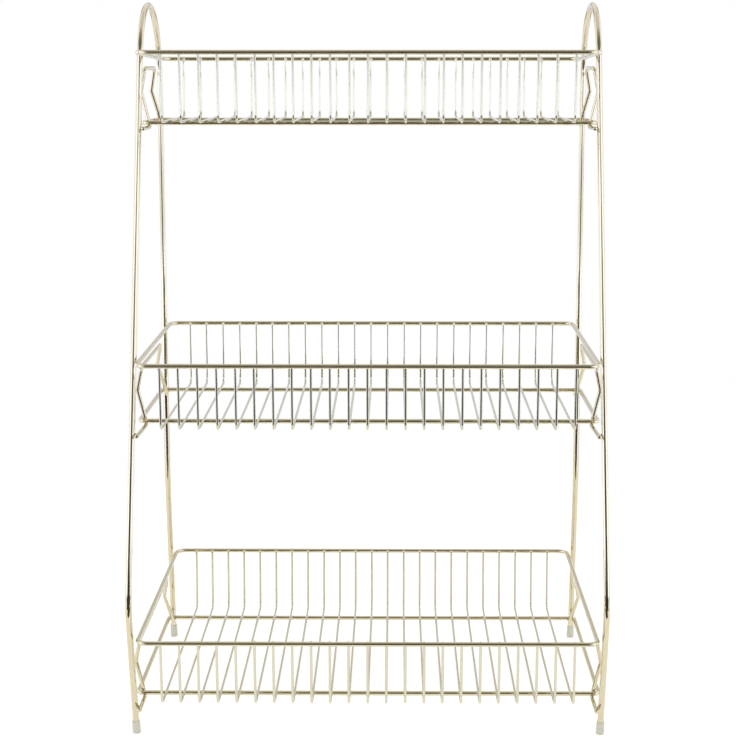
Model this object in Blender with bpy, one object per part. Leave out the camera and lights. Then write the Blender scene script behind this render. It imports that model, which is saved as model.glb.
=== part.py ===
"""Three-tier kitchen rack of brass-plated wire, built as the real one is put together.

Two bent side hoops stand on four soft caps. Each hoop carries three bracket wires.
Each basket is a rim, a bearer ring and a row of U-shaped wires, and it sits with
its bearer ring in the brackets. X runs to the right, Y to the rear and Z up. The
origin lies on the ground in the middle of the footprint.
"""
from collections import namedtuple
from math import acos, atan2, ceil, copysign, cos, floor, hypot, pi, sin, sqrt, tan

import bmesh
import bpy
from mathutils import Matrix, Vector

MM = 0.001

# Wire sizes, in millimetres
HOOP_WIRE = 5.5
RIM_WIRE = 4.0
RING_WIRE = 4.0
BRACKET_WIRE = 3.5
THIN_WIRE = 2.2
WELD_GAP = 0.3
WELD_SINK = 0.5

# Side hoops, in millimetres
HEIGHT = 618.8
HOOP_SPAN = 397.0
ARCH_RADIUS = 62.0
ARCH_CENTRE_Y = 65.0
FRONT_FOOT_Y = -109.0
FRONT_KNEE_Y = -137.0
FRONT_KNEE_HEIGHT = 118.5
FRONT_KNEE_BEND = 45.0
REAR_FOOT_Y = 139.2
REAR_KNEE_Y = 118.5
REAR_KNEE_HEIGHT = 170.0
REAR_KNEE_BEND = 300.0

# Baskets, in millimetres
TOP_RIM_BELOW_TOP = 47.3
MIDDLE_RIM_HEIGHT = 319.0
BOTTOM_RIM_HEIGHT = 90.5
TOP_RIM_FRONT_RISE = 2.4
TOP_RIM_REAR_RISE = -2.4
MIDDLE_RIM_REAR_RISE = 2.0
BOTTOM_RIM_REAR_RISE = 1.5
TOP_FRONT_OVERHANG = 67.7
MIDDLE_FRONT_OVERHANG = 54.4
BOTTOM_FRONT_OVERHANG = 38.5
TOP_REAR_OVERHANG = 12.8
MIDDLE_REAR_OVERHANG = 26.5
BOTTOM_REAR_OVERHANG = 30.0
WALL_HEIGHT = 55.0
WALL_LEAN = 3.0
FLOOR_BEND = 6.0
RIM_CORNER = 9.0
WIRE_PITCH = 15.7
END_WIRE_MARGIN = 14.0
TIP_RISE = 1.0

# Bearer rings, set in from the legs, in millimetres
TOP_RING_FRONT_SETBACK = 20.5
MIDDLE_RING_FRONT_SETBACK = 37.2
BOTTOM_RING_FRONT_SETBACK = 15.0
TOP_RING_REAR_SETBACK = 34.0
MIDDLE_RING_REAR_SETBACK = 32.4
BOTTOM_RING_REAR_SETBACK = 37.1
RING_CORNER = 4.6
SEAT_PLAY = 0.5
RIM_INSET_FROM_RING = 5.8

# Brackets, in millimetres
BRACKET_END_PAST_LEG = 6.5
BRACKET_SEAT_JOG = 1.6
BOTTOM_BRACKET_END_DROP = 4.5
KINK_RISE = 31.0
KINK_OUT = 7.3
HUMP_RISE = 51.0
HUMP_OUT = 3.2
REAR_KINK_LEAN = 12.0
REAR_TOP_LEAN = 18.0
HUMP_BEND = 5.0
KINK_BEND = 6.0

# Foot caps, in millimetres
CAP_HEIGHT = 12.5
CAP_WALL = 0.45
CAP_LIP = 0.3
CAP_ROUND = 2.0
CAP_SINK = 0.7
CAP_FLOOR = 2.6
CAP_FIT = 0.3

# How finely round shapes are cut
HOOP_SIDES = 10
RIM_SIDES = 8
BRACKET_SIDES = 6
THIN_SIDES = 6
CAP_SIDES = 12
ARCH_STEP = pi / 22
KNEE_STEP = pi / 40
CORNER_STEPS = 3
BEND_STEPS = 2
BRACKET_STEPS = 3
ROUND_STEPS = 3

Tier = namedtuple("Tier", "name rim_z rim_front_rise rim_rear_rise front_setback rear_setback "
                          "front_overhang rear_overhang bracket_end_drop")

TIERS = (
    Tier("top", HEIGHT - TOP_RIM_BELOW_TOP, TOP_RIM_FRONT_RISE, TOP_RIM_REAR_RISE,
         TOP_RING_FRONT_SETBACK, TOP_RING_REAR_SETBACK, TOP_FRONT_OVERHANG, TOP_REAR_OVERHANG, 0.0),
    Tier("middle", MIDDLE_RIM_HEIGHT, 0.0, MIDDLE_RIM_REAR_RISE,
         MIDDLE_RING_FRONT_SETBACK, MIDDLE_RING_REAR_SETBACK, MIDDLE_FRONT_OVERHANG,
         MIDDLE_REAR_OVERHANG, 0.0),
    Tier("bottom", BOTTOM_RIM_HEIGHT, 0.0, BOTTOM_RIM_REAR_RISE,
         BOTTOM_RING_FRONT_SETBACK, BOTTOM_RING_REAR_SETBACK, BOTTOM_FRONT_OVERHANG,
         BOTTOM_REAR_OVERHANG, BOTTOM_BRACKET_END_DROP),
)
SIDES = (("left", -1), ("right", 1))

# Levels that follow from the sizes above
FLOOR_DROP = WALL_HEIGHT
RING_DROP = FLOOR_DROP + THIN_WIRE / 2 + RING_WIRE / 2 - WELD_SINK
SEAT_DROP = RING_DROP + RING_WIRE / 2 + WELD_GAP + BRACKET_WIRE / 2

# Half widths that follow from the span of the hoops
HOOP_X = HOOP_SPAN / 2
BRACKET_X = HOOP_X - HOOP_WIRE / 2 - WELD_GAP - BRACKET_WIRE / 2
SEAT_X = BRACKET_X - BRACKET_SEAT_JOG
RING_TOP_RISE = BRACKET_WIRE / 2 + WELD_GAP + RING_WIRE
RING_SIDE_GAP = WELD_GAP + KINK_OUT * RING_TOP_RISE / KINK_RISE
RING_X = SEAT_X + BRACKET_WIRE / 2 + RING_SIDE_GAP + RING_WIRE / 2
RIM_X = RING_X - RIM_INSET_FROM_RING


def clear_scene():
    for obj in list(bpy.data.objects):
        bpy.data.objects.remove(obj, do_unlink=True)


def make_material(name, colour, metallic, roughness):
    material = bpy.data.materials.new(name)
    material.use_nodes = True
    shader = material.node_tree.nodes["Principled BSDF"]
    shader.inputs["Base Color"].default_value = (*colour, 1.0)
    shader.inputs["Metallic"].default_value = metallic
    shader.inputs["Roughness"].default_value = roughness
    material.diffuse_color = (*colour, 1.0)
    return material


def tangent_point(point, centre, radius, side):
    """Where a straight line from point touches the circle, both given as (y, z)."""
    dy = point[0] - centre[0]
    dz = point[1] - centre[1]
    turn = acos(radius / hypot(dy, dz))
    angle = atan2(dz, dy) + side * turn
    return (centre[0] + radius * cos(angle), centre[1] + radius * sin(angle))


# The straight runs of a hoop, as (y, z)
ARCH_CENTRE = (ARCH_CENTRE_Y, HEIGHT - HOOP_WIRE / 2 - ARCH_RADIUS)
FRONT_KNEE = (FRONT_KNEE_Y, FRONT_KNEE_HEIGHT)
REAR_KNEE = (REAR_KNEE_Y, REAR_KNEE_HEIGHT)
FRONT_FOOT = (FRONT_FOOT_Y, 0.0)
REAR_FOOT = (REAR_FOOT_Y, 0.0)
FRONT_SPRING = tangent_point(FRONT_KNEE, ARCH_CENTRE, ARCH_RADIUS, -1)
REAR_SPRING = tangent_point(REAR_KNEE, ARCH_CENTRE, ARCH_RADIUS, 1)


def y_on_line(start, end, z):
    share = (z - start[1]) / (end[1] - start[1])
    return start[0] + share * (end[0] - start[0])


def leg_y(foot, knee, spring, z):
    """Where a leg is at a height: below its knee, above it, or in the arch."""
    if z > spring[1]:
        reach = sqrt(ARCH_RADIUS ** 2 - (z - ARCH_CENTRE[1]) ** 2)
        return ARCH_CENTRE_Y + copysign(reach, spring[0] - ARCH_CENTRE_Y)
    if z > knee[1]:
        return y_on_line(knee, spring, z)
    return y_on_line(foot, knee, z)


def front_leg_y(z):
    return leg_y(FRONT_FOOT, FRONT_KNEE, FRONT_SPRING, z)


def rear_leg_y(z):
    return leg_y(REAR_FOOT, REAR_KNEE, REAR_SPRING, z)


def arc_between(start, corner, end, radius, steps):
    """Points of a round bend that replaces the corner between two straight runs."""
    start = Vector(start)
    corner = Vector(corner)
    end = Vector(end)
    back = (start - corner).normalized()
    ahead = (end - corner).normalized()
    half = back.angle(ahead) / 2
    reach = radius / tan(half)
    centre = corner + (back + ahead).normalized() * (radius / sin(half))
    first = corner + back * reach - centre
    last = corner + ahead * reach - centre
    sweep = first.angle(last)
    points = []
    for step in range(steps + 1):
        t = step / steps
        blend = (first * sin((1 - t) * sweep) + last * sin(t * sweep)) / sin(sweep)
        points.append(centre + blend)
    return points


def bent_path(corners, radii, steps):
    """A wire's centre line through corner points, with a round bend at each inner one."""
    path = [Vector(corners[0])]
    for index in range(1, len(corners) - 1):
        radius = radii[index - 1]
        path += arc_between(corners[index - 1], corners[index], corners[index + 1], radius, steps)
    path.append(Vector(corners[-1]))
    return path


def rounded_rectangle(half_x, front, rear, corner, front_z=0.0, rear_z=0.0):
    """A closed wire rectangle with round corners, flat or tilted about a line along X."""
    corners = [(half_x, front, front_z), (half_x, rear, rear_z),
               (-half_x, rear, rear_z), (-half_x, front, front_z)]
    path = []
    for index, point in enumerate(corners):
        before = corners[index - 1]
        after = corners[(index + 1) % len(corners)]
        path += arc_between(before, point, after, corner, CORNER_STEPS)
    return path


def make_wire(name, paths, diameter, sides, material, location=(0, 0, 0), closed=False):
    """One node of round wire: a tube along each path, given in millimetres."""
    curve = bpy.data.curves.new(name, "CURVE")
    curve.dimensions = "3D"
    curve.twist_mode = "MINIMUM"
    curve.bevel_depth = diameter / 2 * MM
    curve.bevel_resolution = (sides - 4) // 2
    curve.use_fill_caps = True
    for path in paths:
        spline = curve.splines.new("POLY")
        spline.points.add(len(path) - 1)
        spline.use_cyclic_u = closed
        for point, place in zip(spline.points, path):
            point.co = (*(place * MM), 1.0)
    curve.materials.append(material)
    obj = bpy.data.objects.new(name, curve)
    obj.location = Vector(location) * MM
    bpy.context.collection.objects.link(obj)
    return obj


def as_mesh(wire):
    """The same wire as a mesh with its end caps closed, so that another can be welded to it."""
    depsgraph = bpy.context.evaluated_depsgraph_get()
    mesh = bpy.data.meshes.new_from_object(wire.evaluated_get(depsgraph))
    work = bmesh.new()
    work.from_mesh(mesh)
    bmesh.ops.remove_doubles(work, verts=work.verts, dist=0.000001)
    bmesh.ops.recalc_face_normals(work, faces=work.faces)
    work.to_mesh(mesh)
    work.free()
    solid = bpy.data.objects.new(wire.name + "_solid", mesh)
    solid.location = wire.location
    bpy.context.collection.objects.link(solid)
    name = wire.name
    bpy.data.objects.remove(wire, do_unlink=True)
    solid.name = name
    return solid


def weld_on(carrier, added):
    union = carrier.modifiers.new("weld", "BOOLEAN")
    union.operation = "UNION"
    union.solver = "EXACT"
    union.object = added
    added.hide_render = True
    added.display_type = "WIRE"


# Side hoops

def hoop_path():
    """Up the front leg, over the arch and down the rear leg, in the plane of the hoop."""
    arch_start = atan2(FRONT_SPRING[1] - ARCH_CENTRE[1], FRONT_SPRING[0] - ARCH_CENTRE[0])
    arch_end = atan2(REAR_SPRING[1] - ARCH_CENTRE[1], REAR_SPRING[0] - ARCH_CENTRE[0])
    steps = ceil((arch_start - arch_end) / ARCH_STEP)
    path = lower_leg(FRONT_FOOT, FRONT_KNEE, FRONT_SPRING, FRONT_KNEE_BEND)
    for step in range(steps + 1):
        angle = arch_start + (arch_end - arch_start) * step / steps
        y = ARCH_CENTRE[0] + ARCH_RADIUS * cos(angle)
        z = ARCH_CENTRE[1] + ARCH_RADIUS * sin(angle)
        path.append(Vector((0, y, z)))
    path += reversed(lower_leg(REAR_FOOT, REAR_KNEE, REAR_SPRING, REAR_KNEE_BEND))
    return path


def lower_leg(foot, knee, spring, radius):
    """From the wire's end in the cap to just above the knee."""
    start = Vector((0, *leg_end(foot, knee)))
    corner = Vector((0, *knee))
    end = Vector((0, *spring))
    turn = pi - (start - corner).angle(end - corner)
    return [start] + arc_between(start, corner, end, radius, ceil(turn / KNEE_STEP))


def leg_end(foot, above):
    """The wire stops on the floor inside its cap."""
    z = CAP_FLOOR + CAP_FIT
    return (y_on_line(foot, above, z), z)


def make_hoops(material):
    for side, sign in SIDES:
        make_wire("side_hoop_" + side, [hoop_path()], HOOP_WIRE, HOOP_SIDES, material,
                  location=(sign * HOOP_X, 0, 0))


# Baskets

def ring_front(tier):
    return front_leg_y(tier.rim_z - RING_DROP) + tier.front_setback


def ring_rear(tier):
    return rear_leg_y(tier.rim_z - RING_DROP) - tier.rear_setback


def basket_front(tier):
    return ring_front(tier) - tier.front_overhang


def basket_rear(tier):
    return ring_rear(tier) + tier.rear_overhang


def u_wire_path(tier, x):
    """Down the rear wall, along the floor and up the front wall."""
    beside_rim = RIM_WIRE / 2 + WELD_GAP + THIN_WIRE / 2
    rear = basket_rear(tier) - beside_rim
    front = basket_front(tier) + beside_rim
    corners = [
        (x, rear, tier.rim_rear_rise + TIP_RISE),
        (x, rear - WALL_LEAN, -FLOOR_DROP),
        (x, front + WALL_LEAN, -FLOOR_DROP),
        (x, front, tier.rim_front_rise + TIP_RISE),
    ]
    return bent_path(corners, [FLOOR_BEND, FLOOR_BEND], BEND_STEPS)


def make_basket(tier, material):
    place = (0, 0, tier.rim_z)
    rim = rounded_rectangle(RIM_X, basket_front(tier), basket_rear(tier), RIM_CORNER,
                            tier.rim_front_rise, tier.rim_rear_rise)
    make_wire("rim_" + tier.name, [rim], RIM_WIRE, RIM_SIDES, material, place, closed=True)

    each_side = floor((RIM_X - END_WIRE_MARGIN) / WIRE_PITCH)
    paths = [u_wire_path(tier, k * WIRE_PITCH) for k in range(-each_side, each_side + 1)]
    u_wires = as_mesh(make_wire("u_wires_" + tier.name, paths, THIN_WIRE, THIN_SIDES, material, place))

    ring = rounded_rectangle(RING_X, ring_front(tier), ring_rear(tier), RING_CORNER)
    bearer = as_mesh(make_wire("basket_wires_" + tier.name, [ring], RING_WIRE, RIM_SIDES, material,
                               (0, 0, tier.rim_z - RING_DROP), closed=True))
    weld_on(bearer, u_wires)


# Brackets

def bracket_path(tier, sign):
    """From beside the front leg, under the ring and over the hump, to the face of the rear leg."""
    seat = tier.rim_z - SEAT_DROP
    half_wire = BRACKET_WIRE / 2
    beside_ring = RING_WIRE / 2 + SEAT_PLAY + half_wire
    front = ring_front(tier) + beside_ring
    rear = ring_rear(tier) - beside_ring
    front_end = front_leg_y(seat) - BRACKET_END_PAST_LEG
    rear_leg = min(rear_leg_y(seat - half_wire), rear_leg_y(seat + half_wire))
    rear_end = rear_leg - HOOP_WIRE / 2 - WELD_GAP
    corners = [
        (sign * BRACKET_X, front_end, -tier.bracket_end_drop),
        (sign * SEAT_X, front, 0),
        (sign * (SEAT_X + KINK_OUT), front, KINK_RISE),
        (sign * (SEAT_X + HUMP_OUT), front, HUMP_RISE),
        (sign * (SEAT_X + HUMP_OUT), rear - REAR_TOP_LEAN, HUMP_RISE),
        (sign * (SEAT_X + KINK_OUT), rear - REAR_KINK_LEAN, KINK_RISE),
        (sign * SEAT_X, rear, 0),
        (sign * HOOP_X, rear_end, 0),
    ]
    seat_bend = RING_WIRE / 2 + WELD_GAP + half_wire
    radii = [seat_bend, KINK_BEND, HUMP_BEND, HUMP_BEND, KINK_BEND, seat_bend]
    return bent_path(corners, radii, BRACKET_STEPS)


def make_brackets(tier, material):
    for side, sign in SIDES:
        make_wire("bracket_" + tier.name + "_" + side, [bracket_path(tier, sign)], BRACKET_WIRE,
                  BRACKET_SIDES, material, (0, 0, tier.rim_z - SEAT_DROP))


# Foot caps

def cap_profile():
    """Radius and height along the leg, from the middle of the base to the middle of the socket."""
    bore = HOOP_WIRE / 2 + CAP_FIT
    outer = bore + CAP_WALL
    profile = [(0.0, -CAP_SINK)]
    for step in range(ROUND_STEPS + 1):
        angle = pi / 2 * step / ROUND_STEPS
        radius = outer - CAP_ROUND + CAP_ROUND * sin(angle)
        profile.append((radius, CAP_ROUND - CAP_ROUND * cos(angle) - CAP_SINK))
    profile += [
        (outer, CAP_HEIGHT / 2),
        (bore + CAP_LIP, CAP_HEIGHT - CAP_LIP),
        (bore + CAP_LIP / 2, CAP_HEIGHT),
        (bore, CAP_HEIGHT),
        (bore, CAP_FLOOR - CAP_FIT),
        (0.0, CAP_FLOOR - CAP_FIT),
    ]
    return profile


def cap_mesh(name, lean):
    """A turned cap that leans with its leg and is cut flat where it meets the ground."""
    mesh = bpy.data.meshes.new(name)
    work = bmesh.new()
    profile = [work.verts.new((radius * MM, 0, z * MM)) for radius, z in cap_profile()]
    edges = [work.edges.new(pair) for pair in zip(profile, profile[1:])]
    bmesh.ops.spin(work, geom=profile + edges, cent=(0, 0, 0), axis=(0, 0, 1), angle=2 * pi,
                   steps=CAP_SIDES, use_merge=True)
    bmesh.ops.remove_doubles(work, verts=work.verts, dist=0.00001)
    bmesh.ops.rotate(work, verts=work.verts, cent=(0, 0, 0), matrix=Matrix.Rotation(lean, 3, "X"))
    bmesh.ops.bisect_plane(work, geom=work.verts[:] + work.edges[:] + work.faces[:],
                           plane_co=(0, 0, 0), plane_no=(0, 0, 1), clear_inner=True)
    rim = [edge for edge in work.edges if edge.is_boundary]
    bmesh.ops.edgeloop_fill(work, edges=rim)
    bmesh.ops.recalc_face_normals(work, faces=work.faces)
    work.to_mesh(mesh)
    work.free()
    mesh.shade_smooth()
    mesh.set_sharp_from_angle(angle=pi / 5)
    return mesh


def make_caps(material):
    for end, foot, knee in (("front", FRONT_FOOT, FRONT_KNEE), ("rear", REAR_FOOT, REAR_KNEE)):
        lean = atan2(foot[0] - knee[0], knee[1] - foot[1])
        mesh = cap_mesh("foot_cap_" + end, lean)
        mesh.materials.append(material)
        for side, sign in SIDES:
            cap = bpy.data.objects.new("foot_cap_" + end + "_" + side, mesh)
            cap.location = Vector((sign * HOOP_X, foot[0], 0)) * MM
            bpy.context.collection.objects.link(cap)


def main():
    clear_scene()
    brass = make_material("brass_plated_steel_wire", (0.84, 0.75, 0.52), 1.0, 0.16)
    soft_cap = make_material("clear_grey_pvc", (0.68, 0.68, 0.66), 0.0, 0.45)
    make_hoops(brass)
    for tier in TIERS:
        make_basket(tier, brass)
        make_brackets(tier, brass)
    make_caps(soft_cap)


main()
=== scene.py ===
from collections import namedtuple
from math import acos, atan2, ceil, cos, hypot, pi, radians, sin, tan

import bmesh
import bpy
from mathutils import Matrix, Vector, noise


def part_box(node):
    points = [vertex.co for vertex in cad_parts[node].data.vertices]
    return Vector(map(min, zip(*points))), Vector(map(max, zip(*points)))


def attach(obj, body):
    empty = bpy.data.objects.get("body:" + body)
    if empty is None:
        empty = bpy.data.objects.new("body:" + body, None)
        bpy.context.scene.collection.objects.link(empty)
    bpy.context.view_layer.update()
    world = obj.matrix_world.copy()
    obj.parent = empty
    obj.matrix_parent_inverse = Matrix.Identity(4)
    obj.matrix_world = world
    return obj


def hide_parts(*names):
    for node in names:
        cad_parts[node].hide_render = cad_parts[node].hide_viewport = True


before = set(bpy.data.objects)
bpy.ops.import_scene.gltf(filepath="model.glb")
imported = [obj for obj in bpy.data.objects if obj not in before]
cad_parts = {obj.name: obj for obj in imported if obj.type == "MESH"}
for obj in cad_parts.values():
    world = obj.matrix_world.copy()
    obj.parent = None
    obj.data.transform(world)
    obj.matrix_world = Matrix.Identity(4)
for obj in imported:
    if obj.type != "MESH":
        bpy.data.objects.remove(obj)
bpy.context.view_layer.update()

MM = 0.001

# Wire sizes, in millimetres
HOOP_WIRE = 5.5
RIM_WIRE = 4.0
RING_WIRE = 4.0
BRACKET_WIRE = 3.5
THIN_WIRE = 2.2
WELD_SINK = 0.5
SEAT_GAP = 0.3
# A sheared end, in shares of the wire's radius: how long its rolled edge is, and how wide its face
SHEAR_ROLL = 0.22
SHEAR_FACE = 0.8

# Side hoops, in millimetres, as (y, z) in the plane of the hoop
HOOP_X = 198.5
ARCH_RADIUS = 62.0
ARCH_CENTRE = (65.0, 554.05)
FRONT_FOOT = (-109.0, 0.0)
FRONT_KNEE = (-137.0, 118.5)
FRONT_KNEE_BEND = 45.0
REAR_FOOT = (139.2, 0.0)
REAR_KNEE = (118.5, 170.0)
REAR_KNEE_BEND = 300.0

# Baskets and the rings that bear them, in millimetres
WALL_HEIGHT = 55.0
WALL_LEAN = 3.0
FLOOR_BEND = 6.0
RIM_CORNER = 9.0
WIRE_PITCH = 15.7
WIRES_EACH_SIDE = 11
TIP_RISE = 1.0
RING_CORNER = 4.6
RING_DROP = WALL_HEIGHT + THIN_WIRE / 2 + RING_WIRE / 2 - WELD_SINK
# Hand-fed wires lie a few tenths of a millimetre off their pitch and their height
WIRE_DRIFT = 0.35
WIRE_LIFT = 0.5
# Where their noise is read: its step for each wire, its step for each millimetre of height, its plane
DRIFT_NOISE = (0.83, 0.37, 0.5)
LIFT_NOISE = (1.31, 0.71, 3.5)

# Brackets, in millimetres
SEAT_DROP = RING_DROP + RING_WIRE / 2 + SEAT_GAP + BRACKET_WIRE / 2
BRACKET_END_PAST_LEG = 6.5
SEAT_JOG = 1.6
SEAT_PLAY = 0.5
KINK_RISE = 31.0
KINK_OUT = 7.3
HUMP_RISE = 51.0
HUMP_OUT = 3.2
REAR_KINK_LEAN = 12.0
REAR_TOP_LEAN = 18.0
HUMP_BEND = 5.0
KINK_BEND = 6.0

# Spot welds, in millimetres: half of their size in x, y and z
RIM_WELD = (1.5, 0.75, 1.45)
RING_WELD = (1.5, 1.7, 0.75)
FRONT_LEG_WELD = (0.8, 2.4, 1.9)
REAR_LEG_WELD = (2.15, 0.95, 2.15)
RIM_WELD_DROP = 0.2
REAR_LEG_WELD_SHIFT = 0.1
# The front leg's weld lies this share of the way to the dropped end of the bracket
FRONT_LEG_WELD_SHARE = 0.75
# How uneven a weld is, how closely its lumps follow each other, and the noise's steps between welds
WELD_SWELL = 0.14
WELD_LUMPS = 1.7
WELD_NOISE_STEPS = (3.1, 1.7, 0)
# Keeps the lumps of the rear leg's weld unlike those of the front leg's
REAR_LEG_WELD_SEED = 5

# Soft caps on the feet, in millimetres
CAP_HEIGHT = 12.5
CAP_BORE = 2.78
CAP_OUTER = 3.5
CAP_LIP = 0.35
CAP_ROUND = 2.0
CAP_SINK = 0.7
CAP_FLOOR = 2.6
# How the skin draws in above the middle: (share of the height, how far in)
CAP_WAIST = ((0.40, 0.0), (0.60, 0.06), (0.80, 0.16))

# How finely round shapes are made
HOOP_SIDES = 24
RIM_SIDES = 20
BRACKET_SIDES = 16
THIN_SIDES = 12
CAP_SIDES = 40
CAP_ROUND_STEPS = 8
CAP_LIP_STEPS = 4
ARCH_STEP = pi / 64
BEND_STEP = pi / 28
LEAST_BEND_STEPS = 3
SHARP_ANGLE = radians(50)
# A ring of points this many millimetres outside a bend keeps its shading off the straight run
GUARD = 0.8
# Lengths under these count as none: in millimetres for points, and as a vector's length for a bend
SAME_POINT = 0.001
NO_BEND = 1e-6

# Where each bearer ring lies in y, how far the front and rear of the rim stand off its level, and
# how far the bracket's front end drops, in millimetres
Tier = namedtuple("Tier", "name ring_front ring_rear front_rise rear_rise end_drop")
TIERS = (
    Tier("top", 7.88, 92.13, 2.4, -2.4, 0.0),
    Tier("middle", -54.85, 88.13, 0.0, 2.0, 0.0),
    Tier("bottom", -101.77, 98.09, 0.0, 1.5, 4.5),
)
SIDES = (("left", -1), ("right", 1))


# Colour and materials

# Patterns, in millimetres
DRAWN_LINE_LENGTH = 25
DRAWN_LINE_SPACING = 0.25
DRAWN_LINE_DEPTH = 0.03
MOTTLE_LENGTH = 6
MOTTLE_WIDTH = 3
MOTTLE_HEIGHT = 0.08
WELD_PEBBLE = 0.5
WELD_PEBBLE_HEIGHT = 0.1
PVC_CLOUD = 3
PVC_GRAIN = 0.3
PVC_GRAIN_HEIGHT = 0.05
LAMINATE_SPECK = 2.5
# Noise seldom leaves this range, which is spread over the plating's roughness
NOISE_RANGE = (0.3, 0.7)
PLATING_ROUGHNESS = (0.05, 0.11)
# The colour sockets of a Mix node share their names with its other sockets, so they go by number
MIX_FIRST = 6
MIX_SECOND = 7
MIX_RESULT = 2


def linear(code):
    """An sRGB hex colour as the linear values that a shader takes."""
    channels = [int(code[i:i + 2], 16) / 255 for i in (1, 3, 5)]
    return [c / 12.92 if c <= 0.04045 else ((c + 0.055) / 1.055) ** 2.4 for c in channels] + [1.0]


def add_node(tree, kind, settings=None, sockets=None):
    """Adds one node, sets its properties and sockets, and links each socket that is given an output."""
    made = tree.nodes.new(kind)
    for name, value in (settings or {}).items():
        setattr(made, name, value)
    for name, value in (sockets or {}).items():
        if isinstance(value, bpy.types.NodeSocket):
            tree.links.new(value, made.inputs[name])
        else:
            made.inputs[name].default_value = value
    return made


def new_material(name):
    material = bpy.data.materials.new(name)
    material.use_nodes = True
    return material, material.node_tree, material.node_tree.nodes["Principled BSDF"]


def plated_brass(name, tones):
    """Bright brass plating over drawn steel wire.

    The wire was pulled through a die and then plated, which leaves a mirror with faint lines
    along the wire, a slight mottle where the plating is thicker, and a pale champagne gold.
    UV runs in metres, U along the wire and V round it, so the drawn lines follow every bend.
    """
    material, tree, shader = new_material(name)
    uv = add_node(tree, "ShaderNodeTexCoord").outputs["UV"]
    # Real drawn lines lie 0.05 mm apart. They are drawn 0.25 mm apart here, so that they show.
    lines_at = add_node(tree, "ShaderNodeMapping", sockets={
        "Vector": uv,
        "Scale": (1 / (DRAWN_LINE_LENGTH * MM), 1 / (DRAWN_LINE_SPACING * MM), 1.0)})
    lines = add_node(tree, "ShaderNodeTexNoise", sockets={
        "Vector": lines_at.outputs[0], "Scale": 1.0, "Detail": 3.0, "Roughness": 0.6})
    mottle_at = add_node(tree, "ShaderNodeMapping", sockets={
        "Vector": uv, "Scale": (1 / (MOTTLE_LENGTH * MM), 1 / (MOTTLE_WIDTH * MM), 1.0)})
    mottle = add_node(tree, "ShaderNodeTexNoise", sockets={
        "Vector": mottle_at.outputs[0], "Scale": 1.0, "Detail": 2.0})
    tone = add_node(tree, "ShaderNodeMix", {"data_type": "RGBA"}, {
        "Factor": mottle.outputs[0], MIX_FIRST: linear(tones[0]), MIX_SECOND: linear(tones[1])})
    tree.links.new(tone.outputs[MIX_RESULT], shader.inputs["Base Color"])
    shader.inputs["Metallic"].default_value = 1.0
    rough = add_node(tree, "ShaderNodeMapRange", sockets={
        "Value": lines.outputs[0], "From Min": NOISE_RANGE[0], "From Max": NOISE_RANGE[1],
        "To Min": PLATING_ROUGHNESS[0], "To Max": PLATING_ROUGHNESS[1]})
    tree.links.new(rough.outputs[0], shader.inputs["Roughness"])
    grain = add_node(tree, "ShaderNodeBump", sockets={
        "Height": lines.outputs[0], "Strength": 0.25, "Distance": DRAWN_LINE_DEPTH * MM})
    swell = add_node(tree, "ShaderNodeBump", sockets={
        "Height": mottle.outputs[0], "Normal": grain.outputs[0], "Strength": 0.2,
        "Distance": MOTTLE_HEIGHT * MM})
    tree.links.new(swell.outputs[0], shader.inputs["Normal"])
    return material


def weld_brass():
    """The same plating over a spot weld: the metal was squeezed out and set with a pebbled skin."""
    material, tree, shader = new_material("brass_plated_spot_weld")
    spot = add_node(tree, "ShaderNodeTexCoord").outputs["Object"]
    pebble = add_node(tree, "ShaderNodeTexNoise", sockets={
        "Vector": spot, "Scale": 1 / (WELD_PEBBLE * MM), "Detail": 2.0})
    tone = add_node(tree, "ShaderNodeMix", {"data_type": "RGBA"}, {
        "Factor": pebble.outputs[0],
        MIX_FIRST: linear("#D0C6A3"), MIX_SECOND: linear("#DDD5B8")})
    tree.links.new(tone.outputs[MIX_RESULT], shader.inputs["Base Color"])
    shader.inputs["Metallic"].default_value = 1.0
    shader.inputs["Roughness"].default_value = 0.27
    skin = add_node(tree, "ShaderNodeBump", sockets={
        "Height": pebble.outputs[0], "Strength": 0.4, "Distance": WELD_PEBBLE_HEIGHT * MM})
    tree.links.new(skin.outputs[0], shader.inputs["Normal"])
    return material


def soft_pvc():
    """Dip-moulded soft PVC, milky grey: light enters its skin, and it has a faint matt grain."""
    material, tree, shader = new_material("milky_grey_soft_pvc")
    spot = add_node(tree, "ShaderNodeTexCoord").outputs["Object"]
    cloud = add_node(tree, "ShaderNodeTexNoise", sockets={
        "Vector": spot, "Scale": 1 / (PVC_CLOUD * MM), "Detail": 2.0})
    grain = add_node(tree, "ShaderNodeTexNoise", sockets={
        "Vector": spot, "Scale": 1 / (PVC_GRAIN * MM), "Detail": 2.0})
    tone = add_node(tree, "ShaderNodeMix", {"data_type": "RGBA"}, {
        "Factor": cloud.outputs[0],
        MIX_FIRST: linear("#E1DCCB"), MIX_SECOND: linear("#EFEBDC")})
    tree.links.new(tone.outputs[MIX_RESULT], shader.inputs["Base Color"])
    shader.inputs["Roughness"].default_value = 0.42
    shader.inputs["IOR"].default_value = 1.53
    shader.inputs["Subsurface Weight"].default_value = 0.35
    shader.inputs["Subsurface Scale"].default_value = 1.5 * MM
    skin = add_node(tree, "ShaderNodeBump", sockets={
        "Height": grain.outputs[0], "Strength": 0.3, "Distance": PVC_GRAIN_HEIGHT * MM})
    tree.links.new(skin.outputs[0], shader.inputs["Normal"])
    return material


# Centre lines, in millimetres

def tangent_point(point, centre, radius, side):
    """Where a straight line from point touches the circle, both given as (y, z)."""
    dy = point[0] - centre[0]
    dz = point[1] - centre[1]
    turn = acos(radius / hypot(dy, dz))
    angle = atan2(dz, dy) + side * turn
    return (centre[0] + radius * cos(angle), centre[1] + radius * sin(angle))


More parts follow.
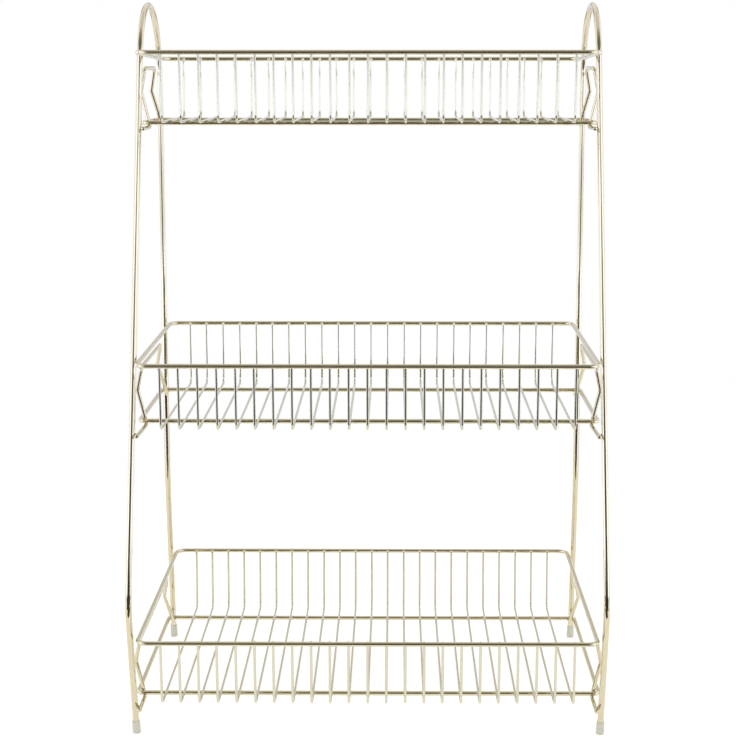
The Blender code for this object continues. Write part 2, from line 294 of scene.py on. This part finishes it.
FRONT_SPRING = tangent_point(FRONT_KNEE, ARCH_CENTRE, ARCH_RADIUS, -1)
REAR_SPRING = tangent_point(REAR_KNEE, ARCH_CENTRE, ARCH_RADIUS, 1)


def y_on_line(start, end, z):
    share = (z - start[1]) / (end[1] - start[1])
    return start[0] + share * (end[0] - start[0])


def leg_y(foot, knee, spring, z):
    if z > knee[1]:
        return y_on_line(knee, spring, z)
    return y_on_line(foot, knee, z)


def toward(start, end, distance):
    return start + (end - start).normalized() * distance


def arc_between(start, corner, end, radius):
    """Points of a round bend that replaces the corner between two straight runs."""
    start = Vector(start)
    corner = Vector(corner)
    end = Vector(end)
    back = (start - corner).normalized()
    ahead = (end - corner).normalized()
    half = back.angle(ahead) / 2
    centre = corner + (back + ahead).normalized() * (radius / sin(half))
    first = corner + back * (radius / tan(half)) - centre
    last = corner + ahead * (radius / tan(half)) - centre
    sweep = first.angle(last)
    steps = max(LEAST_BEND_STEPS, ceil(sweep / BEND_STEP))
    points = [centre + first + back * GUARD]
    for step in range(steps + 1):
        t = step / steps
        blend = (first * sin((1 - t) * sweep) + last * sin(t * sweep)) / sin(sweep)
        points.append(centre + blend)
    points.append(centre + last + ahead * GUARD)
    return points


def bent_path(corners, radii):
    path = [Vector(corners[0])]
    for index, radius in enumerate(radii):
        path += arc_between(corners[index], corners[index + 1], corners[index + 2], radius)
    path.append(Vector(corners[-1]))
    return path


def rounded_rectangle(half_x, front, rear, corner):
    """A closed wire rectangle with round corners. The points front and rear are (y, z)."""
    corners = [(half_x, *front), (half_x, *rear), (-half_x, *rear), (-half_x, *front)]
    path = []
    for index, point in enumerate(corners):
        following = corners[(index + 1) % len(corners)]
        path += arc_between(corners[index - 1], point, following, corner)
    return path


def lower_leg(foot, knee, spring, radius):
    """From the wire's end in the cap to just above the knee."""
    z = CAP_FLOOR + SEAT_GAP
    start = (0, y_on_line(foot, knee, z), z)
    return [Vector(start)] + arc_between(start, (0, *knee), (0, *spring), radius)


def hoop_path(x):
    """Up the front leg, over the arch and down the rear leg."""
    path = lower_leg(FRONT_FOOT, FRONT_KNEE, FRONT_SPRING, FRONT_KNEE_BEND)
    arch_start = atan2(FRONT_SPRING[1] - ARCH_CENTRE[1], FRONT_SPRING[0] - ARCH_CENTRE[0])
    arch_end = atan2(REAR_SPRING[1] - ARCH_CENTRE[1], REAR_SPRING[0] - ARCH_CENTRE[0])
    steps = ceil((arch_start - arch_end) / ARCH_STEP)
    arch = []
    for step in range(steps + 1):
        angle = arch_start + (arch_end - arch_start) * step / steps
        arch.append(Vector((0, ARCH_CENTRE[0] + ARCH_RADIUS * cos(angle),
                            ARCH_CENTRE[1] + ARCH_RADIUS * sin(angle))))
    rear = list(reversed(lower_leg(REAR_FOOT, REAR_KNEE, REAR_SPRING, REAR_KNEE_BEND)))
    path.append(toward(arch[0], path[-1], GUARD))
    path += arch
    path.append(toward(arch[-1], rear[0], GUARD))
    path += rear
    return [point + Vector((x, 0, 0)) for point in path]


# Meshes

# A ring of points round a wire: its centre, its two axes, its share of the radius and its miter
Ring = namedtuple("Ring", "centre across third share stretch")


def tangents_along(path, closed):
    """The wire's direction at each point, from the point before it to the point after it."""
    count = len(path)
    tangents = []
    for index in range(count):
        before = path[index - 1] if closed or index else path[0]
        after = path[(index + 1) % count] if closed or index < count - 1 else path[-1]
        tangents.append((after - before).normalized())
    return tangents


def miter(path, index, closed):
    """How far a ring widens, and in which direction, to keep the wire's thickness in a bend."""
    count = len(path)
    if not closed and index in (0, count - 1):
        return Vector((0, 0, 0))
    back = (path[index - 1] - path[index]).normalized()
    ahead = (path[(index + 1) % count] - path[index]).normalized()
    inward = back + ahead
    if inward.length < NO_BEND:
        return Vector((0, 0, 0))
    half = back.angle(ahead) / 2
    return inward.normalized() * (1 / sin(half) - 1) ** 0.5


def rings_along(path, tangents, closed):
    """A ring at each point, turned with the path, and how far along the wire each ring lies."""
    across = tangents[0].orthogonal().normalized()
    rings = []
    lengths = [0.0]
    for index, (point, along) in enumerate(zip(path, tangents)):
        across = (across - along * across.dot(along)).normalized()
        third = along.cross(across)
        rings.append(Ring(point, across.copy(), third, 1.0, miter(path, index, closed)))
        if index:
            lengths.append(lengths[-1] + (point - path[index - 1]).length)
    return rings, lengths


def roll_ends(rings, lengths, tangents, edge):
    """Sheared ends: the edge is rolled over a little."""
    start, end = rings[0], rings[-1]
    rings = [
        start._replace(share=SHEAR_FACE),
        start._replace(centre=start.centre + tangents[0] * edge),
        *rings[1:-1],
        end._replace(centre=end.centre - tangents[-1] * edge),
        end._replace(share=SHEAR_FACE),
    ]
    return rings, [0.0, edge, *lengths[1:-1], lengths[-1] - edge, lengths[-1]]


def ring_verts(work, ring, radius, sides):
    verts = []
    for side in range(sides):
        angle = 2 * pi * side / sides
        offset = (ring.across * cos(angle) + ring.third * sin(angle)) * (radius * ring.share)
        offset += ring.stretch * offset.dot(ring.stretch)
        verts.append(work.verts.new((ring.centre + offset) * MM))
    return verts


def sweep_tube(work, path, diameter, sides, closed=False):
    """Adds a round wire along a path in millimetres, with UVs in metres along it and round it."""
    uv = work.loops.layers.uv.verify()
    radius = diameter / 2
    if not closed:
        path = [path[0], toward(path[0], path[1], diameter), *path[1:-1],
                toward(path[-1], path[-2], diameter), path[-1]]
    tangents = tangents_along(path, closed)
    rings, lengths = rings_along(path, tangents, closed)
    if not closed:
        rings, lengths = roll_ends(rings, lengths, tangents, SHEAR_ROLL * radius)
    circles = [ring_verts(work, ring, radius, sides) for ring in rings]
    spans = list(zip(circles, circles[1:], lengths, lengths[1:]))
    if closed:
        whole = lengths[-1] + (path[0] - path[-1]).length
        spans.append((circles[-1], circles[0], lengths[-1], whole))
    girth = 2 * pi * radius
    for low, high, low_at, high_at in spans:
        for side in range(sides):
            ahead = (side + 1) % sides
            face = work.faces.new((low[side], low[ahead], high[ahead], high[side]))
            face.smooth = True
            places = ((low_at, side), (low_at, side + 1), (high_at, side + 1), (high_at, side))
            for loop, (along, turn) in zip(face.loops, places):
                loop[uv].uv = (along * MM, girth * turn / sides * MM)
    if not closed:
        for end in (list(reversed(circles[0])), circles[-1]):
            work.faces.new(end)


def finish_mesh(name, work, material, node=None):
    """Makes a piece of the rack, which has one body, and hides the CAD node that it stands for."""
    mesh = bpy.data.meshes.new(name)
    bmesh.ops.recalc_face_normals(work, faces=work.faces)
    work.to_mesh(mesh)
    work.free()
    mesh.set_sharp_from_angle(angle=SHARP_ANGLE)
    mesh.materials.append(material)
    piece = bpy.data.objects.new(name, mesh)
    bpy.context.scene.collection.objects.link(piece)
    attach(piece, "root")
    if node:
        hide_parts(node)


def make_wire(name, path, diameter, sides, material, node, closed=False):
    work = bmesh.new()
    sweep_tube(work, path, diameter, sides, closed)
    finish_mesh(name, work, material, node)


def add_bead(work, centre, size, seed):
    """One spot weld: a squeezed-out blob of metal, in millimetres, each a little unlike the next."""
    made = bmesh.ops.create_icosphere(work, subdivisions=2, radius=1.0)
    apart = Vector([seed * step for step in WELD_NOISE_STEPS])
    for vert in made["verts"]:
        swell = 1 + WELD_SWELL * noise.noise(vert.co * WELD_LUMPS + apart)
        place = Vector(centre) + Vector([c * s * swell for c, s in zip(vert.co, size)])
        vert.co = place * MM
    for face in {face for vert in made["verts"] for face in vert.link_faces}:
        face.smooth = True


# Pieces

def make_hoops(brass):
    for side, sign in SIDES:
        make_wire("hoop_" + side, hoop_path(sign * HOOP_X), HOOP_WIRE, HOOP_SIDES, brass,
                  "side_hoop_" + side)


def rim_level(tier):
    """The height that the basket hangs from, and that its rim's front and rear stand off."""
    low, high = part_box("rim_" + tier.name)
    return (low.z + high.z) / 2 / MM - (tier.front_rise + tier.rear_rise) / 2


def u_wire_path(x, floor_z, front, rear, lift):
    """Down the rear wall, along the floor and up the front wall. Front and rear are (y, z)."""
    corners = [
        (x, rear[0], rear[1] + TIP_RISE + lift),
        (x, rear[0] - WALL_LEAN, floor_z),
        (x, front[0] + WALL_LEAN, floor_z),
        (x, front[0], front[1] + TIP_RISE - lift),
    ]
    return bent_path(corners, [FLOOR_BEND, FLOOR_BEND])


def wire_noise(k, level, place):
    """A number from about -1 to 1 that is each U-wire's own."""
    per_wire, per_level, plane = place
    return noise.noise(Vector((k * per_wire, level * per_level, plane)))


def make_u_wires(tier, rim_z, front, rear, pale_brass, weld):
    """The thin wires, each welded to the inside of the rim and across the bearer ring."""
    wires = bmesh.new()
    beads = bmesh.new()
    beside_rim = RIM_WIRE / 2 + SEAT_GAP + THIN_WIRE / 2
    rim_weld = RIM_WIRE / 2 + SEAT_GAP / 2
    ring_weld_z = rim_z - WALL_HEIGHT - THIN_WIRE / 2 + WELD_SINK / 2
    for k in range(-WIRES_EACH_SIDE, WIRES_EACH_SIDE + 1):
        x = k * WIRE_PITCH + WIRE_DRIFT * wire_noise(k, rim_z, DRIFT_NOISE)
        lift = WIRE_LIFT * wire_noise(k, rim_z, LIFT_NOISE)
        path = u_wire_path(x, rim_z - WALL_HEIGHT, (front[0] + beside_rim, front[1]),
                           (rear[0] - beside_rim, rear[1]), lift)
        sweep_tube(wires, path, THIN_WIRE, THIN_SIDES)
        for (y, z), inward in ((front, 1), (rear, -1)):
            place = (x, y + inward * rim_weld, z - RIM_WELD_DROP)
            add_bead(beads, place, RIM_WELD, k + inward)
        for y in (tier.ring_front, tier.ring_rear):
            add_bead(beads, (x, y, ring_weld_z), RING_WELD, k + y)
    finish_mesh("u_wires_" + tier.name, wires, pale_brass)
    finish_mesh("basket_welds_" + tier.name, beads, weld)


def make_basket(tier, brass, pale_brass, weld):
    low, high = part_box("rim_" + tier.name)
    half_x = high.x / MM - RIM_WIRE / 2
    rim_z = rim_level(tier)
    front = (low.y / MM + RIM_WIRE / 2, rim_z + tier.front_rise)
    rear = (high.y / MM - RIM_WIRE / 2, rim_z + tier.rear_rise)
    rim = rounded_rectangle(half_x, front, rear, RIM_CORNER)
    make_wire("basket_rim_" + tier.name, rim, RIM_WIRE, RIM_SIDES, brass, "rim_" + tier.name,
              closed=True)
    ring_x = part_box("basket_wires_" + tier.name)[1].x / MM - RING_WIRE / 2
    ring_z = rim_z - RING_DROP
    ring = rounded_rectangle(ring_x, (tier.ring_front, ring_z), (tier.ring_rear, ring_z),
                             RING_CORNER)
    make_wire("bearer_ring_" + tier.name, ring, RING_WIRE, RIM_SIDES, brass,
              "basket_wires_" + tier.name, closed=True)
    make_u_wires(tier, rim_z, front, rear, pale_brass, weld)


def make_brackets(tier, brass, weld):
    """From beside the front leg, under the ring and over the hump, to the face of the rear leg."""
    seat = rim_level(tier) - SEAT_DROP
    half_wire = BRACKET_WIRE / 2
    beside_ring = RING_WIRE / 2 + SEAT_PLAY + half_wire
    front = tier.ring_front + beside_ring
    rear = tier.ring_rear - beside_ring
    front_leg = leg_y(FRONT_FOOT, FRONT_KNEE, FRONT_SPRING, seat)
    rear_leg = min(leg_y(REAR_FOOT, REAR_KNEE, REAR_SPRING, seat - half_wire),
                   leg_y(REAR_FOOT, REAR_KNEE, REAR_SPRING, seat + half_wire))
    rear_end = rear_leg - HOOP_WIRE / 2 - SEAT_GAP
    beside_hoop = HOOP_X - HOOP_WIRE / 2 - SEAT_GAP - half_wire
    front_weld_x = HOOP_X - HOOP_WIRE / 2 - SEAT_GAP / 2
    front_weld_z = seat - tier.end_drop * FRONT_LEG_WELD_SHARE
    seat_x = beside_hoop - SEAT_JOG
    seat_bend = RING_WIRE / 2 + SEAT_GAP + half_wire
    radii = [seat_bend, KINK_BEND, HUMP_BEND, HUMP_BEND, KINK_BEND, seat_bend]
    for side, sign in SIDES:
        corners = [
            (sign * beside_hoop, front_leg - BRACKET_END_PAST_LEG, seat - tier.end_drop),
            (sign * seat_x, front, seat),
            (sign * (seat_x + KINK_OUT), front, seat + KINK_RISE),
            (sign * (seat_x + HUMP_OUT), front, seat + HUMP_RISE),
            (sign * (seat_x + HUMP_OUT), rear - REAR_TOP_LEAN, seat + HUMP_RISE),
            (sign * (seat_x + KINK_OUT), rear - REAR_KINK_LEAN, seat + KINK_RISE),
            (sign * seat_x, rear, seat),
            (sign * HOOP_X, rear_end, seat),
        ]
        name = tier.name + "_" + side
        make_wire("bracket_wire_" + name, bent_path(corners, radii), BRACKET_WIRE,
                  BRACKET_SIDES, brass, "bracket_" + name)
        beads = bmesh.new()
        add_bead(beads, (sign * front_weld_x, front_leg, front_weld_z), FRONT_LEG_WELD, sign)
        add_bead(beads, (sign * HOOP_X, rear_end - REAR_LEG_WELD_SHIFT, seat), REAR_LEG_WELD,
                 sign + REAR_LEG_WELD_SEED)
        finish_mesh("bracket_welds_" + name, beads, weld)


def cap_profile():
    """Radius and height along the leg, from the middle of the base to the middle of the socket."""
    profile = [(0.0, -CAP_SINK)]
    for step in range(CAP_ROUND_STEPS + 1):
        angle = pi / 2 * step / CAP_ROUND_STEPS
        radius = CAP_OUTER - CAP_ROUND + CAP_ROUND * sin(angle)
        profile.append((radius, CAP_ROUND * (1 - cos(angle)) - CAP_SINK))
    profile += [(CAP_OUTER - inset, CAP_HEIGHT * share) for share, inset in CAP_WAIST]
    # A rolled lip
    middle = (CAP_BORE + CAP_LIP / 2, CAP_HEIGHT - CAP_LIP)
    for step in range(CAP_LIP_STEPS + 1):
        angle = pi * step / CAP_LIP_STEPS
        profile.append((middle[0] + CAP_LIP / 2 * cos(angle), middle[1] + CAP_LIP * sin(angle)))
    profile += [(CAP_BORE, CAP_FLOOR), (0.0, CAP_FLOOR)]
    return profile


def make_caps(pvc):
    """Each cap leans with its leg and is pressed flat where it stands on the ground."""
    for end, foot, knee in (("front", FRONT_FOOT, FRONT_KNEE), ("rear", REAR_FOOT, REAR_KNEE)):
        lean = atan2(foot[0] - knee[0], knee[1] - foot[1])
        for side, sign in SIDES:
            work = bmesh.new()
            verts = [work.verts.new((radius * MM, 0, z * MM)) for radius, z in cap_profile()]
            edges = [work.edges.new(pair) for pair in zip(verts, verts[1:])]
            bmesh.ops.spin(work, geom=verts + edges, cent=(0, 0, 0), axis=(0, 0, 1),
                           angle=2 * pi, steps=CAP_SIDES, use_merge=True)
            bmesh.ops.remove_doubles(work, verts=work.verts, dist=SAME_POINT * MM)
            bmesh.ops.rotate(work, verts=work.verts, cent=(0, 0, 0),
                             matrix=Matrix.Rotation(lean, 3, "X"))
            bmesh.ops.bisect_plane(work, geom=work.verts[:] + work.edges[:] + work.faces[:],
                                   plane_co=(0, 0, 0), plane_no=(0, 0, 1), clear_inner=True)
            bmesh.ops.edgeloop_fill(work, edges=[e for e in work.edges if e.is_boundary])
            bmesh.ops.translate(work, verts=work.verts,
                                vec=Vector((sign * HOOP_X, foot[0], 0)) * MM)
            for face in work.faces:
                face.smooth = True
            name = end + "_" + side
            finish_mesh("soft_cap_" + name, work, pvc, "foot_cap_" + name)


# Floor, light and camera

# The studio's sizes and places are in metres
FLOOR_SIZE = 1.5
FLOOR_GLOW = 0.42
SOFT_LIGHT = 0.9
# The floor cards lie just over the floor, which they hide in reflections alone
FLOOR_CARD_HEIGHT = 0.001
# The points of a card lie at most this many degrees apart, so that it follows its globe
CARD_STEP = 4.0

# What the plated wire mirrors. A card hangs on a globe round the rack, a basket's front or a rim.
# Its rows go from low to high as (elevation, half of its width, brightness), angles in degrees.
# Azimuth 0 is straight in front, and a brightness of 1 is the white of the backdrop.
Card = namedtuple("Card", "name centre azimuth distance rows")
RACK = (0, 0, 0)
MIDDLE_BASKET = (0, -0.07, 0.29)
TOP_RIM = (0, 0, 0.57)
# Each of these hangs on the right and again on the left
PAIRED_CARDS = (
    Card("softbox", RACK, 56, 9.0,
         ((-25, 36, 1.9), (-9, 36, 1.9), (-8, 36, 2.5), (-2.5, 36, 2.5), (-1.5, 36, 1.4),
          (2.5, 36, 1.4), (4, 36, 2.4), (10.5, 36, 2.4), (12, 36, 2.1), (36, 36, 2.2))),
    Card("softbox_rear", RACK, 118, 9.0,
         ((-25, 26, 1.6), (-9, 26, 1.6), (-8, 26, 2.2), (10, 26, 2.2), (12, 26, 1.8),
          (36, 26, 1.8))),
    Card("flag", RACK, 93, 8.0, ((-25, 6, 0.6), (36, 6, 0.6))),
    Card("flag_rear", RACK, 150, 8.0, ((-25, 7, 0.5), (36, 7, 0.5))),
)
MIDDLE_CARDS = (
    Card("rear_wall", RACK, 180, 9.0,
         ((-20, 23, 0.93), (9, 23, 0.93), (15, 23, 0.72), (25, 23, 0.68))),
    Card("softbox_below_camera", RACK, 0, 9.0,
         ((-14, 20, 1.8), (-9, 20, 1.8), (-8, 20, 2.7), (-2.2, 20, 2.7))),
    Card("camera_opening", RACK, 0, 8.0,
         ((-2.2, 20, 0.06), (3, 20, 0.06), (3.6, 16, 0.9), (10.6, 16, 1.2), (11.1, 28, 0.06),
          (12, 31, 0.05), (22, 31, 0.06), (28, 25, 0.22), (36, 14, 0.4))),
    Card("flag_over_camera", RACK, 0, 7.0,
         ((37, 75, 0.25), (55, 75, 0.2), (66, 75, 0.3), (80, 75, 0.75))),
    Card("ceiling_front", RACK, 0, 6.0, ((80, 90, 0.75), (90, 90, 0.9))),
    Card("ceiling_rear", RACK, 180, 6.0, ((60, 90, 0.8), (80, 90, 0.9), (90, 90, 0.9))),
    Card("flag_before_lens", RACK, 0, 7.5, ((2.5, 9, 0.05), (7.4, 9, 0.05))),
    Card("flag_before_top_rim", TOP_RIM, 0, 3.0, ((-18, 12, 0.05), (-6.5, 12, 0.05))),
    Card("flag_before_middle_basket", MIDDLE_BASKET, 0, 0.58,
         ((-26, 58, 0.05), (-11, 58, 0.05), (-10, 46, 0.05), (1, 46, 0.05))),
)
# Dark cards on the floor in front: name, half of the width, nearest and furthest y
FLOOR_CARDS = (
    ("floor_flag", 1.6, -0.88, -3.1),
    ("floor_runner", 0.35, -0.33, -1.6),
)
FLOOR_CARD_GLOW = 0.06
# A card darker than the neutral glow takes the dark room's tone, and a brighter one daylight's
NEUTRAL_GLOW = 0.6
DARK_ROOM = (1.0, 0.92, 0.65)
DAYLIGHT = (0.72, 0.76, 0.96)


def seen_directly(tree):
    """1 for a ray from the camera, a mirror or a clear piece, and 0 for a ray that lights something."""
    rays = add_node(tree, "ShaderNodeLightPath").outputs
    seen = add_node(tree, "ShaderNodeMath", {"operation": "MAXIMUM"}, {
        0: rays["Is Camera Ray"], 1: rays["Is Glossy Ray"]})
    seen = add_node(tree, "ShaderNodeMath", {"operation": "MAXIMUM"}, {
        0: seen.outputs[0], 1: rays["Is Transmission Ray"]})
    return seen.outputs[0]


def put_on_stage(name, work, material):
    mesh = bpy.data.meshes.new(name)
    work.to_mesh(mesh)
    work.free()
    mesh.materials.append(material)
    thing = bpy.data.objects.new(name, mesh)
    bpy.context.scene.collection.objects.link(thing)
    return thing


def make_floor():
    """Matt white laminate, faintly speckled. Its glow lifts it to white and lights nothing."""
    material, tree, shader = new_material("white_table_laminate")
    spot = add_node(tree, "ShaderNodeTexCoord").outputs["Object"]
    speck = add_node(tree, "ShaderNodeTexNoise", sockets={
        "Vector": spot, "Scale": 1 / (LAMINATE_SPECK * MM)})
    tone = add_node(tree, "ShaderNodeMix", {"data_type": "RGBA"}, {
        "Factor": speck.outputs[0],
        MIX_FIRST: linear("#E6E6E6"), MIX_SECOND: linear("#EAEAEA")})
    tree.links.new(tone.outputs[MIX_RESULT], shader.inputs["Base Color"])
    shader.inputs["Roughness"].default_value = 0.9
    shader.inputs["Specular IOR Level"].default_value = 0.0
    shader.inputs["Emission Color"].default_value = (1, 1, 1, 1)
    glow = add_node(tree, "ShaderNodeMath", {"operation": "MULTIPLY"}, {
        0: seen_directly(tree), 1: FLOOR_GLOW})
    tree.links.new(glow.outputs[0], shader.inputs["Emission Strength"])
    work = bmesh.new()
    bmesh.ops.create_grid(work, x_segments=1, y_segments=1, size=FLOOR_SIZE / 2)
    put_on_stage("floor", work, material)


def card_material():
    """A card that shines as brightly as its own mesh says at each corner."""
    material = bpy.data.materials.new("studio_card")
    material.use_nodes = True
    tree = material.node_tree
    tree.nodes.clear()
    glow = add_node(tree, "ShaderNodeAttribute", {"attribute_name": "glow"}).outputs["Color"]
    shine = add_node(tree, "ShaderNodeEmission", sockets={"Color": glow, "Strength": 1.0})
    add_node(tree, "ShaderNodeOutputMaterial", sockets={"Surface": shine.outputs[0]})
    return material


def card_colour(bright):
    """The brighter a card, the cooler: the dark room is warm and the softboxes are daylight."""
    tone = Vector((1, 1, 1))
    if bright < NEUTRAL_GLOW:
        tone = tone.lerp(Vector(DARK_ROOM), 1 - bright / NEUTRAL_GLOW)
    else:
        tone = tone.lerp(Vector(DAYLIGHT), min(bright - NEUTRAL_GLOW, 1))
    return (*(tone * bright), 1)


def only_in_reflections(card):
    """Cards shape what the plating mirrors. They light nothing and cast no shadow."""
    card.visible_camera = False
    card.visible_diffuse = False
    card.visible_transmission = False
    card.visible_volume_scatter = False
    card.visible_shadow = False


def make_card(card, material):
    work = bmesh.new()
    glow = work.verts.layers.float_color.new("glow")
    across = ceil(2 * max(half for _, half, _ in card.rows) / CARD_STEP)
    strips = []
    for (low, low_half, low_glow), (high, high_half, high_glow) in zip(card.rows, card.rows[1:]):
        steps = ceil((high - low) / CARD_STEP)
        # A row's own strip is made once, with the rows below it
        first = 1 if strips else 0
        for step in range(first, steps + 1):
            share = step / steps
            height = radians(low + share * (high - low))
            half = low_half + share * (high_half - low_half)
            bright = low_glow + share * (high_glow - low_glow)
            strip = []
            for k in range(across + 1):
                turn = radians(card.azimuth + half * (2 * k / across - 1))
                place = Vector((sin(turn) * cos(height), -cos(turn) * cos(height), sin(height)))
                vert = work.verts.new(Vector(card.centre) + place * card.distance)
                vert[glow] = card_colour(bright)
                strip.append(vert)
            strips.append(strip)
    for low, high in zip(strips, strips[1:]):
        for k in range(across):
            work.faces.new((low[k], low[k + 1], high[k + 1], high[k]))
    only_in_reflections(put_on_stage(card.name, work, material))


def make_floor_card(name, half_width, near, far, material):
    work = bmesh.new()
    glow = work.verts.layers.float_color.new("glow")
    corners = [(half_width, near), (-half_width, near), (-half_width, far), (half_width, far)]
    verts = [work.verts.new((x, y, FLOOR_CARD_HEIGHT)) for x, y in corners]
    for vert in verts:
        vert[glow] = card_colour(FLOOR_CARD_GLOW)
    work.faces.new(verts)
    only_in_reflections(put_on_stage(name, work, material))


def make_studio():
    """Soft light from all round, a white backdrop, and the cards that draw the wire's edges."""
    world = bpy.data.worlds.new("white_studio")
    bpy.context.scene.world = world
    world.use_nodes = True
    tree = world.node_tree
    tree.nodes.clear()
    light = add_node(tree, "ShaderNodeBackground", sockets={
        "Color": (1, 1, 1, 1), "Strength": SOFT_LIGHT})
    backdrop = add_node(tree, "ShaderNodeBackground", sockets={"Color": (1, 1, 1, 1)})
    both = add_node(tree, "ShaderNodeMixShader", sockets={
        "Fac": seen_directly(tree), 1: light.outputs[0], 2: backdrop.outputs[0]})
    add_node(tree, "ShaderNodeOutputWorld", sockets={"Surface": both.outputs[0]})
    material = card_material()
    for card in PAIRED_CARDS:
        for side, sign in reversed(SIDES):
            name = card.name + "_" + side
            make_card(card._replace(name=name, azimuth=sign * card.azimuth), material)
    for card in MIDDLE_CARDS:
        make_card(card, material)
    for name, half_width, near, far in FLOOR_CARDS:
        make_floor_card(name, half_width, near, far, material)


# The photograph's camera: its place in metres, and its focal length and middle column in pixels
CAMERA_PLACE = (0.0223, -1.4713, 0.5623)
CAMERA_TILT = radians(10.177)
CAMERA_TURN = radians(0.440)
IMAGE_WIDTH = 736
FOCAL_PIXELS = 1679.7
MIDDLE_COLUMN = 381.9
SENSOR_WIDTH = 36.0


def make_camera():
    lens = bpy.data.cameras.new("camera")
    lens.sensor_width = SENSOR_WIDTH
    lens.lens = FOCAL_PIXELS * SENSOR_WIDTH / IMAGE_WIDTH
    lens.shift_x = (IMAGE_WIDTH / 2 - MIDDLE_COLUMN) / IMAGE_WIDTH
    lens.clip_start = 0.01
    camera = bpy.data.objects.new("camera", lens)
    camera.location = CAMERA_PLACE
    camera.rotation_euler = (pi / 2 - CAMERA_TILT, 0, CAMERA_TURN)
    bpy.context.scene.collection.objects.link(camera)
    bpy.context.scene.camera = camera


def main():
    make_camera()
    make_floor()
    make_studio()
    bpy.context.scene.view_settings.view_transform = "Standard"
    brass = plated_brass("brass_plated_drawn_steel", ("#D3C8A7", "#DDD4B8"))
    # The thin wires take a thinner, paler plating
    pale_brass = plated_brass("pale_brass_plated_thin_wire", ("#D1CCB2", "#DAD6C0"))
    weld = weld_brass()
    make_hoops(brass)
    for tier in TIERS:
        make_basket(tier, brass, pale_brass, weld)
        make_brackets(tier, brass, weld)
    make_caps(soft_pvc())


main()
bpy.context.view_layer.update()
